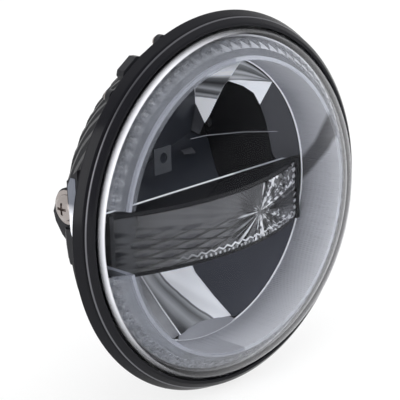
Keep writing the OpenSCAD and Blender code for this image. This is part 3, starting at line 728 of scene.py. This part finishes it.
class HEADLIGHT_OT_bezel(bpy.types.Operator):
    """Black bezel turned from its profile, with the groove behind its bright edge"""
    bl_idname = "headlight.bezel"
    bl_label = "Bezel"

    def execute(self, context):
        s = context.scene.headlight_bezel
        edge, rim = s.edge_radius / MM, s.rim_radius / MM
        profile = [
            (84.9, -2.2), (85.4, -2.5), (86.6, -2.3), (edge - 1, -1.1), (edge - 0.3, -0.5), (edge, 0.1),
            (edge - 0.2, 0.6), (edge - 0.9, 0.9), (edge - 0.9, 1.5), (edge + 0.2, 2.0), (rim - 0.3, 5.1),
            (rim, 5.6), (rim - 0.8, 6.4), (86.3, 6.4), (86.3, -0.3), (84.9, -0.3),
        ]
        shell = Shell().ring(rounded(profile, 0.3), BEZEL_STEPS)
        obj = shell.build("bezel", "bezel_black", slot="bezel_black")
        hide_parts("front_bezel")
        line = [(edge - 0.35, -0.55), (edge + 0.12, -0.05), (edge + 0.1, 0.3), (edge - 0.5, 0.3)]
        shell = Shell().ring(rounded(line, 0.1, 3), BEZEL_STEPS)
        shell.build("bezel_bright_line", "edge_grey", slot="bezel_black")
        return {"FINISHED"}


def dome_height(r, foot, rise):
    """Height of the lens at radius r: a straight foot plus rise times (1 - (r / foot)^4)^(1 / 1.2)."""
    return LENS_FOOT + rise * np.clip(1 - (np.abs(r) / foot) ** 4, 0, 1) ** (1 / 1.2)


class HEADLIGHT_OT_lens(bpy.types.Operator):
    """Clear domed lens with its rim"""
    bl_idname = "headlight.lens"
    bl_label = "Lens"

    def execute(self, context):
        s = context.scene.headlight_lens
        foot, height, wall = s.radius / MM, s.height / MM, s.wall / MM
        swing = np.sin(np.linspace(0, math.pi / 2, 72))
        outer = np.stack([foot * swing, -dome_height(foot * swing, foot, height - LENS_FOOT)], 1)
        inside = (foot - wall) * swing[::-1]
        hollow = height - LENS_FOOT - wall
        inner = np.stack([inside, -dome_height(inside, foot - wall, hollow)], 1)
        rim = [(foot, -0.1), (foot + 1.7, 0), (foot + 1.8, 0.2), (foot + 1.8, 3), (foot - wall, 3)]
        profile = np.concatenate([outer, rim, inner])
        shell = Shell().grid(turned(profile, round_angles(288)), wrap_u=True)
        obj = shell.build("lens", "lens_clear", slot="lens_clear")
        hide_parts("outer_lens")
        return {"FINISHED"}


def capped_tube(name, rings, look, slot):
    """A tube given as rings of points along its path, closed at both ends by narrowing to a point."""
    first, last = (ring.mean(0, keepdims=True).repeat(rings.shape[1], 0) for ring in (rings[0], rings[-1]))
    grid = np.concatenate([first[None], rings, last[None]])
    return Shell().grid(grid, wrap_v=True).build(name, look, slot=slot, sharp=60)


def ring_face(r):
    """Front face of the halo ring at radius r: a cone that rises towards the axis."""
    slope = (FRONT_INNER - FRONT_OUTER) / (RING_OUTER - RING_INNER)
    return -(FRONT_INNER - slope * (r - RING_INNER))


def open_angles(n):
    """n steps of angles round the lamp's axis, outside the window at the left, as a column."""
    start, end = np.radians(WINDOW)
    return (end + (TAU - (end - start)) * np.arange(n + 1) / n)[:, None]


class HEADLIGHT_OT_halo(bpy.types.Operator):
    """Clear halo ring with prism teeth, and the silver carrier with its deep ribbed wall"""
    bl_idname = "headlight.halo"
    bl_label = "Halo ring"

    def execute(self, context):
        s = context.scene.headlight_halo
        self.guide(s.teeth)
        self.backing(s.teeth)
        wall = self.wall(s.ribs)
        self.skirt()
        self.bead()
        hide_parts("halo_carrier")
        return {"FINISHED"}

    def guide(self, teeth):
        """The ring's section carried round; the outer edge moves in and out as a triangle wave."""
        a = round_angles(teeth * 10)
        steps = [RING_INNER, 73, 74.8, 76.2, 77.6, 78.6, RING_OUTER]
        front, back = ([(r, ring_face(r) + thick) for r in steps] for thick in (0, 2.6))
        section = rounded(front + back[::-1], 0.35, 3)
        p = turned(section, a)
        r = np.hypot(p[..., 0], p[..., 2])
        wave = triangle(a * teeth / TAU)[:, None]
        near = smooth_step(r, 74.9, 79.2)
        scale = 1 - near * wave * 1.6 / r
        p[..., 0] *= scale
        p[..., 2] *= scale
        p[..., 1] += near * (wave - 0.5) * 1.3 + 0.6
        shell = Shell().grid(p, wrap_u=True, wrap_v=True)
        obj = shell.build("halo_ring", "guide_clear", slot="guide_clear")
        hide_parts("halo_light_guide")

    def backing(self, teeth):
        """The cone under the ring, open at the left, with chevrons in relief and a row of small teeth."""
        a = open_angles(teeth * 16)
        u = np.linspace(0, 1, 41)
        r = 79.6 - 9.6 * u
        fading = smooth_step(u, 0.02, 0.12) * (1 - smooth_step(u, 0.45, 0.62))
        chevrons = triangle(a * teeth / TAU + u * 1.5) * 0.5 * fading
        row = smooth_step(r, 75.2, 75.6) * (1 - smooth_step(r, 76.6, 77.0))
        small_teeth = 0.9 * row * (triangle(a * 190 / TAU) > 0.45)
        front = polar(r, a, ring_face(r) + 3.4 + (chevrons + small_teeth))
        shell = Shell().slab(front, moved(front, y=1.5))
        shell.build("halo_backing", "carrier_silver", slot="carrier_silver")

    def wall(self, ribs):
        """The deep wall behind the cone, whose fine ribs along the axis fade in at its front."""
        a = open_angles(ribs * 4)
        front = ring_face(RING_INNER) + 3.3
        levels = np.linspace(front, 16, 8)
        rib = triangle(a * ribs / TAU) * 0.35 * smooth_step(levels, front, front + 2.5)
        shell = Shell().slab(polar(RING_INNER - rib, a, levels), polar(71.8, a, levels))
        return shell.build("halo_wall", "wall_silver", slot="carrier_silver")

    def skirt(self):
        """The carrier's outer skirt, turned from its profile."""
        profile = rounded([(80.9, -1.2), (80.9, 6.5), (78.9, 6.5), (78.9, 1.6), (80.2, -1.2)], 0.2)
        Shell().ring(profile, 400).build("halo_skirt", "skirt_shade", slot="carrier_silver")

    def bead(self):
        """A thin round bead along the wall's rear edge, at the right, painted white as a highlight."""
        t = round_angles(12)
        section = np.stack([69.7 + 0.45 * np.cos(t), 16.3 + 0.45 * np.sin(t)], 1)
        rings = turned(section, np.radians(np.linspace(-118, 66, 200)))
        capped_tube("halo_rear_bead", rings, "bright_panel", "chrome")


def bar_face(x):
    """Front of the bar: an arc through its two ends that bulges forward in the middle."""
    s = bpy.context.scene.headlight_bar
    half, bulge = s.half_length / MM, s.bulge / MM
    radius = (half ** 2 + bulge ** 2) / (2 * bulge)
    return BAR_ENDS_Y - bulge + radius - np.sqrt(radius ** 2 - x ** 2)


class HEADLIGHT_OT_bar(bpy.types.Operator):
    """Fluted bar optic with its sunburst, and the dark tray round it"""
    bl_idname = "headlight.bar"
    bl_label = "Centre bar"

    def execute(self, context):
        s = context.scene.headlight_bar
        half, mid = s.half_length / MM, s.middle / MM
        self.optic(half, s.height / MM, mid, s.flutes)
        self.tray(half, s.height / MM, mid)
        return {"FINISHED"}

    def optic(self, half, height, mid, flutes):
        """Grid over the bar's face; its depth is the arc plus the relief.

        Round the sunburst's centre the relief is a triangle wave of the angle, faintly
        cut across by rings. Left of it two families of slanting waves cross.
        """
        nx, nz = 452, 104
        x = np.linspace(-half + 2.1, half - 2.1, nx)[:, None]
        z = np.linspace(-1, 1, nz)[None, :] * (height / 2 - 2.1) + mid
        x, z = np.broadcast_arrays(x, z)
        dx, dz = x - BURST_X, z - mid
        far = np.hypot(dx, dz)
        turn = np.arctan2(dz, dx)
        rays = triangle(turn * flutes / TAU) * np.minimum(far / 14, 1.0)
        rings = triangle(far / 11.0 + triangle(turn * flutes / TAU) * 0.5)
        burst = rays * 1.1 + rings * 0.16 * smooth_step(far, 8, 20)
        lean = math.radians(11)
        rising = triangle((dz * math.cos(lean) + x * math.sin(lean)) / 4.6)
        falling = triangle((dz * math.cos(lean) - x * math.sin(lean)) / 4.6)
        weave = rising + falling
        left = smooth_step(-dx + np.abs(dz) * 0.3, 10, 30)
        upper = smooth_step(dz + dx * 0.04, 1.0, 6.0) * left
        relief = burst * (1 - left) + (weave * 0.33 * (1 - 0.75 * upper) + rays * 0.3) * left
        y = bar_face(x) + 1.0 - relief * 0.9
        front = np.stack([x, y, z], -1)
        back = np.stack([x, bar_face(x) + 4.2, z], -1)
        uv = np.stack([turn * flutes / TAU, np.maximum(rising, falling)], -1)
        shell = Shell().slab(front, back, uv)
        obj = shell.build("bar_optic_fluted", "optic_clear", slot="optic_clear", sharp=12)
        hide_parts("bar_optic")

    def tray(self, half, height, mid):
        """Open box round the optic: its rim follows the arc, its back is straight."""
        x = np.linspace(-half, half, 120)
        low, top = mid - height / 2, mid + height / 2
        rim = bar_face(x) + 1.0
        shell = Shell()
        for sign in (1, -1):
            outer = mid + sign * height / 2
            inner = outer - sign * 1.8
            corners = ((rim, inner), (rim, outer), (BAR_BACK_Y, outer), (BAR_BACK_Y, inner))
            sections = [np.stack(np.broadcast_arrays(x, y, z), 1) for y, z in corners]
            shell.rail(np.stack(sections, 1))
        for sign in (1, -1):
            corners = ((half - 2, low), (half + 0.3, low), (half + 0.3, top), (half - 2, top))
            levels = (bar_face(half - 1) - 0.6, BAR_BACK_Y)
            shell.rail(np.array([[(sign * across, y, z) for across, z in corners] for y in levels]))
        obj = shell.build("bar_tray_walls", "tray_dark", slot="tray_dark")
        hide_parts("bar_tray")
        facet("bar_bright_edge", [(-half, 17.0, top - 0.3), (half, 17.0, top - 0.3)],
              [(-half, 17.6, top + 0.6), (half, 17.6, top + 0.6)], "chrome", "chrome", 0, None, 0.8)


def facet(name, first, second, look, slot, bow=0.0, ridges=None, thick=0.7):
    """A panel spanned between two edges, each a list of points joined by straight lines.

    The panel's middle is pushed to the rear by bow. Its back is the same
    surface moved to the rear by its thickness.
    """
    v = np.linspace(0, 1, 48)
    u = np.linspace(0, 1, 40)[:, None]
    start, end = resampled(first, v), resampled(second, v)
    grid = start[None] * (1 - u[..., None]) + end[None] * u[..., None]
    sag = bow * np.sin(math.pi * u) * (0.35 + 0.65 * np.sin(math.pi * v))
    if ridges is not None:
        sag = sag + ridges(u)
    grid[..., 1] += sag
    uv = np.stack(np.broadcast_arrays(u, v), -1)
    return Shell().slab(grid, moved(grid, y=thick), uv).build(name, look, slot=slot, sharp=40)


def rim_arc(start, end, radius=68.6, y=16.2, steps=14):
    """Points on the rear edge of the ring's deep wall, between two angles in degrees."""
    return polar(radius, np.radians(np.linspace(start, end, steps)), y)


class HEADLIGHT_OT_chambers(bpy.types.Operator):
    """Faceted bowls above and below the bar, as panels between measured edges"""
    bl_idname = "headlight.chambers"
    bl_label = "Chambers"

    blade = [(28, 16, 62), (25, 22, 52), (24, 24.5, 49), (23.1, 29.6, 39.9), (22.5, 33.5, 33), (22, 36, 29.5)]
    screws_sunk = 6
    floor_step = [(25, 37, 21), (14.5, 21.5, 10), (13, 17.6, 6.9)]
    arch = [(26, 22.4, 51.6), (33.2, 20, 48.2), (40.4, 20, 43.3), (44.6, 20, 36.6),
            (48, 20, 28.6), (51, 20, 17.7), (52.4, 20, 10), (53, 17.6, 6.9)]

    def execute(self, context):
        self.upper()
        self.lower()
        return {"FINISHED"}

    def upper(self):
        """A blade with a bright left face, a dark arch to its right, and dark cheeks, all in painted light and
        shade.
        """
        blade, arch = self.blade, self.arch
        facet("blade_face", blade, [(25, 30, 58), (22.4, 42, 46.5), (22.2, 42.4, 39), (22, 36.4, 29.6)],
              "blade_bands", "chrome", 0.8)
        facet("blade_edge", blade, moved(blade, 0.9, 0.5), "bright_panel", "chrome", 0, None, 0.5)
        facet("dark_arch", blade[1:] + self.floor_step, arch, "arch_black", "mask_dark", 15,
              lambda u: 0.8 * np.sin(u * 26) * smooth_step(u, 0.45, 0.8) * smooth_step(1 - u, 0.0, 0.15))
        facet("bright_triangle", arch[:4], [(28, 21.6, 52), (50.3, 16.4, 47.4), (47.2, 18.2, 42), arch[3]],
              "bright_panel", "chrome", 0.4)
        facet("brow_bands", rim_arc(65.5, 43.6), [(26, 22, 52.2), (38, 19.4, 50.2), (50, 16.4, 47.8)],
              "brow_bands", "chrome", 1.2)
        mask = facet("right_cheek", arch[3:], rim_arc(43.4, 5.6), "cheek_grey", "mask_dark", 0.6)
        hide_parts("inner_mask")
        self.screws()
        bowl = facet("left_cheek", [(22, 42.4, 46.5), (22.2, 42.4, 39), (21, 42.2, 33), (17, 41, 25)],
                     rim_arc(112, 174.4), "mask_dark", "mask_dark", 1.5)
        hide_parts("low_beam_reflector")
        facet("left_floor", [(17, 41, 25), (25, 37.2, 21), (14.5, 21.8, 10), (13, 17.6, 6.9)],
              [(-66, 16.3, 14), (-67.6, 16.8, 9.5), (-67.8, 17.4, 6.9)], "mask_dark", "mask_dark", 1.0)
        facet("ceiling", [(28, 16.2, 62), (25, 30, 58), (22, 42.4, 46.5)], rim_arc(66, 112),
              "brow_bands", "chrome", 1.5)
        facet("light_wedge", [(21.6, 41.2, 38), (21.8, 36, 29.8)], [(17.5, 40.6, 26), (19.5, 37.4, 24)],
              "cheek_grey", "mask_dark")
        facet("pale_patch", [(-1, 29, 21.6), (8, 31, 21)], [(0, 28, 19.6), (9, 29.4, 18.2)],
              "cheek_grey", "mask_dark", -0.4)
        line = [(-7, 15.8, 31), (3, 15.8, 30.6), (28, 15.8, 27), (52, 15.8, 22.2)]
        facet("seam_line", line, moved(line, z=-0.2), "wall_silver", "chrome", 0, None, 0.3)
        self.tab()

    def screws(self):
        """The mask's four screws, seated deep enough to stay behind the panels and painted dark as shade: a
        head and a shank.
        """
        spots = [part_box(name) for name in sorted(frame["nodes"]) if name.split("[")[0] == "mask_screws"]
        shell = Shell()
        for low, high in spots:
            x, z = ((low[k] + high[k]) / 2 / MM for k in (0, 2))
            y, end = low[1] / MM + self.screws_sunk, high[1] / MM
            outline = [(0.05, y), (2.9, y + 0.2), (2.9, y + 2), (1.6, y + 2.2), (1.6, end), (0.05, end)]
            shell.ring(rounded(outline, 0.2, 3), 40, at=(x, 0, z))
        obj = shell.build("sunk_mask_screws", "parts_dark", slot="screw_steel")
        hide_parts("mask_screws")

    def tab(self):
        """Small bracket plate with a round hole, at the left of the upper chamber."""
        angles = round_angles(48)
        inner = np.stack([-22 + 2.3 * np.cos(angles), 24.4 + 2.6 * np.sin(angles)], 1)
        reach = 1 / np.maximum(np.abs(np.cos(angles)), np.abs(np.sin(angles)))
        outer = np.stack([-22.6 + 5.4 * reach * np.cos(angles), 23.4 + 6.4 * reach * np.sin(angles)], 1)
        u = np.linspace(0, 1, 6)[:, None, None]
        flat = inner[None] * (1 - u) + outer[None] * u
        front = np.stack([flat[..., 0], np.full(flat.shape[:2], 19.0), flat[..., 1]], -1)
        loop = np.concatenate([front, moved(front, y=1.0)[::-1]])
        shell = Shell().grid(loop, wrap_u=True, wrap_v=True)
        shell.build("bracket_tab", "bracket_grey", slot="mask_dark")

    def lower(self):
        """A trough that comes forward from the bar to the rim, between a pale wall and a flat dark panel."""
        left = [(-31, 31, -24), (-29, 30, -35), (-24.5, 22, -50), (-19.4, 14.8, -63.6)]
        right = [(-1, 33, -24), (5, 30, -42), (12, 24.6, -55), (18.6, 19.6, -66)]
        # painted reflections: the trough's bands and its white edges; painted light: the flat panel's paler
        # copy of the mask's colour
        bowl = facet("trough", left, right, "trough_chrome", "chrome", 11)
        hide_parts("high_beam_reflector")
        facet("trough_end", [(-19.4, 15.8, -63.6), (0, 21.5, -64.2), (18.6, 20.6, -66)],
              rim_arc(-107, -74.3, 69.4, 15.8), "wall_silver", "chrome", 0.5)
        facet("trough_left_edge", left, moved(left, -0.9, -0.3), "bright_panel", "chrome", 0, None, 0.6)
        facet("trough_right_edge", right, moved(right, 0.8, -0.3), "bright_panel", "chrome", 0, None, 0.6)
        facet("pale_wall", [(-32, 31, -24), (-30, 30, -35), (-25.4, 22, -50), (-20.4, 14.8, -63.6)],
              np.concatenate([[(-64, 16.2, -24)], rim_arc(201, 251)]), "carrier_silver", "carrier_silver", 1)
        facet("dark_panel", moved(right, 1), np.concatenate([[(64, 16.2, -24)], rim_arc(-21, -73.6)]),
              "panel_dark", "mask_dark", 0.5)


class HEADLIGHT_OT_plate(bpy.types.Operator):
    """Bare foil plate stuck to the flat pad at the left of the casting"""
    bl_idname = "headlight.plate"
    bl_label = "Bare side plate"

    def execute(self, context):
        z = np.linspace(-11, 30, 40)
        front = np.interp(z, [-11, 0, 10, 30], [9.5, 9.6, 9.8, 10.3])
        rear = np.interp(z, [-11, 5, 26, 30], [9.9, 15.2, 15.6, 13.2])
        u = np.linspace(0, 1, 14)[:, None]
        y = front[None] * (1 - u) + rear[None] * u
        crease = 0.05 * np.sin(y * 3.1 + z[None] * 0.9) + 0.04 * np.sin(z[None] * 2.3)
        outer = np.stack([-84.28 + crease, y, np.broadcast_to(z, y.shape)], -1)
        shell = Shell().slab(outer, moved(outer, 0.25))
        shell.build("side_plate", "plate_silver", slot="screw_steel")
        return {"FINISHED"}


class HEADLIGHT_OT_finishes(bpy.types.Operator):
    """Gives every CAD piece its finish"""
    bl_idname = "headlight.finishes"
    bl_label = "Finishes of the CAD pieces"

    def execute(self, context):
        slots = {row["node"]: row["material_slot"] for row in frame["record"]["subparts"]}
        for name, obj in frame["nodes"].items():
            node = name.split("[")[0]
            material = finish("parts_dark" if node in SHOWN_DARK else slots[node])
            obj.data.materials.clear()
            obj.data.materials.append(material)
        return {"FINISHED"}


# studio
VIEW_ANGLES = (-43.92, 16.93, -2.11)  # azimuth, elevation and roll of the photograph's view, in degrees
DISTANCE, AIM_RIGHT, AIM_UP = 900, -12.8, 2.6
PIXELS_PER_MM, PICTURE_WIDTH, SENSOR_WIDTH = 2.117, 400, 36
FLOOR_TURN = -44  # degrees


def camera_axes():
    """The camera's right, up and back in the photograph's view, and its place."""
    az, el, roll = (math.radians(v) for v in VIEW_ANGLES)
    back = Vector((math.sin(az) * math.cos(el), -math.cos(az) * math.cos(el), math.sin(el)))
    right = Vector((math.cos(az), math.sin(az), 0))
    up = back.cross(right)
    x = right * math.cos(roll) + up * math.sin(roll)
    y = up * math.cos(roll) - right * math.sin(roll)
    place = (back * DISTANCE + right * AIM_RIGHT + up * AIM_UP) * MM
    return x, y, back, place


class HEADLIGHT_OT_studio(bpy.types.Operator):
    """Pale floor and backdrop, soft lamps, and the camera at the photograph's view"""
    bl_idname = "headlight.studio"
    bl_label = "Studio"

    def execute(self, context):
        self.camera(context.scene)
        self.floor(context.scene)
        self.world(context.scene)
        self.lamps(context.scene)
        context.scene.view_settings.view_transform = "Standard"
        return {"FINISHED"}

    def camera(self, scene):
        x, y, back, place = camera_axes()
        data = bpy.data.cameras.new("photo_camera")
        data.sensor_width = SENSOR_WIDTH
        data.lens = PIXELS_PER_MM * DISTANCE / PICTURE_WIDTH * SENSOR_WIDTH
        camera = bpy.data.objects.new("photo_camera", data)
        camera.matrix_world = Matrix((
            (x.x, y.x, back.x, place.x), (x.y, y.y, back.y, place.y),
            (x.z, y.z, back.z, place.z), (0, 0, 0, 1)))
        scene.collection.objects.link(camera)
        scene.camera = camera

    def floor(self, scene):
        """A flat floor under the lamp that turns up into a wall behind it."""
        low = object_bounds()[0][2] / MM - 0.2
        swing = np.linspace(0, math.pi / 2, 16)[1:]
        bend, bend_radius, wall_top = 500, 500, 2400
        run = np.concatenate([np.linspace(-1500, bend, 12), bend + bend_radius * np.sin(swing),
                              np.full(6, bend + bend_radius)])
        rise = np.concatenate([np.zeros(12), bend_radius * (1 - np.cos(swing)),
                               np.linspace(600, wall_top, 6)])
        across = np.linspace(-2200, 2200, 8)[:, None]
        p = np.stack(np.broadcast_arrays(across, run, rise + low), -1)
        turn = Matrix.Rotation(math.radians(FLOOR_TURN), 3, "Z")
        sheet = Shell().grid(p @ np.array(turn).T)
        mesh = bpy.data.meshes.new("floor")
        mesh.from_pydata((sheet.points[0] * MM).tolist(), [], sheet.faces[0].tolist())
        for polygon in mesh.polygons:
            polygon.use_smooth = True
        mesh.materials.append(self.floor_paint(tuple(scene.headlight_studio.floor)))
        obj = bpy.data.objects.new("floor", mesh)
        scene.collection.objects.link(obj)
        obj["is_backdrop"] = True

    def floor_paint(self, tone):
        """Plain paint, mostly its own light where the camera sees it: straight, mirrored or through glass."""
        f = new_finish("pale_floor")
        plain = f.node("BsdfDiffuse", None, {"Color": tone})
        shine = f.node("Emission", None, {"Color": (1, 1, 1), "Strength": 1.0})
        direct = f.node("LightPath", output="Is Camera Ray")
        mirrored, through = f.outputs(direct, "Is Glossy Ray", "Is Transmission Ray")
        return f.close(f.blend((direct + mirrored + through).clamped() * 0.8, plain, shine))

    def world(self, scene):
        """Pale where the camera looks, dark in front where it is mirrored, and elsewhere a plain fill light."""
        scene.world = bpy.data.worlds.new("studio_air")
        w = Finish(scene.world, "OutputWorld")
        front = (-0.45, -0.88, -0.1)
        facing = w.node("VectorMath", {"operation": "DOT_PRODUCT"}, {0: w.coordinate("Generated"), 1: front},
                        output="Value")
        shade = w.ramp(facing, ((0.30, (1.0, 1.0, 1.0)), (0.55, (0.06, 0.062, 0.07))))
        mirror = w.node("Background", None, {"Color": shade, "Strength": 0.9})
        fill = scene.headlight_studio.fill
        grey = w.node("Background", None, {"Color": (0.97, 0.985, 1.0), "Strength": fill})
        pale = w.node("Background", None, {"Color": (0.8, 0.8, 0.8), "Strength": 1.0})
        direct = w.node("LightPath", output="Is Camera Ray")
        [glossy] = w.outputs(direct, "Is Glossy Ray")
        w.close(w.blend(direct, w.blend(glossy, grey, mirror), pale))

    def lamps(self, scene):
        """Soft boxes aimed at the lamp, above, at the left and at the right, with places in metres."""
        for name, place, size, power in (
                ("top_box", (-0.1, -0.3, 1.1), (1.0, 0.8), 9),
                ("left_box", (-1.0, -0.5, 0.35), (0.5, 1.0), 6),
                ("right_box", (0.9, -0.25, 0.15), (0.25, 1.0), 5)):
            data = bpy.data.lights.new(name, "AREA")
            data.shape, data.size, data.size_y, data.energy = "RECTANGLE", size[0], size[1], power
            lamp = bpy.data.objects.new(name, data)
            lamp.location = place
            lamp.rotation_euler = (-Vector(place)).to_track_quat("-Z", "Y").to_euler()
            lamp.visible_glossy = name == "left_box"
            scene.collection.objects.link(lamp)


class HEADLIGHT_PT_panel(bpy.types.Panel):
    """Buttons for each piece and the sizes they use"""
    bl_label = "Headlight"
    bl_idname = "HEADLIGHT_PT_panel"
    bl_space_type = "VIEW_3D"
    bl_region_type = "UI"
    bl_category = "Headlight"

    def draw(self, context):
        for operator in OPERATORS:
            self.layout.operator(operator.bl_idname)
        for name, group in GROUPS.items():
            settings = getattr(context.scene, name)
            for key in group.__annotations__:
                self.layout.prop(settings, key)


GROUPS = {
    "headlight_bezel": BezelSettings, "headlight_lens": LensSettings, "headlight_halo": HaloSettings,
    "headlight_bar": BarSettings, "headlight_chamber": ChamberSettings, "headlight_studio": StudioSettings,
}
OPERATORS = (
    HEADLIGHT_OT_finishes, HEADLIGHT_OT_bezel, HEADLIGHT_OT_lens, HEADLIGHT_OT_halo, HEADLIGHT_OT_bar,
    HEADLIGHT_OT_chambers, HEADLIGHT_OT_plate, HEADLIGHT_OT_studio,
)


def register():
    for item in (*GROUPS.values(), *OPERATORS, HEADLIGHT_PT_panel):
        bpy.utils.register_class(item)
    for name, group in GROUPS.items():
        setattr(bpy.types.Scene, name, PointerProperty(type=group))


def unregister():
    for name in GROUPS:
        delattr(bpy.types.Scene, name)
    for item in reversed((*GROUPS.values(), *OPERATORS, HEADLIGHT_PT_panel)):
        bpy.utils.unregister_class(item)


def main():
    register()
    for operator in OPERATORS:
        group, name = operator.bl_idname.split(".")
        getattr(getattr(bpy.ops, group), name)()


if __name__ == "__main__":
    main()
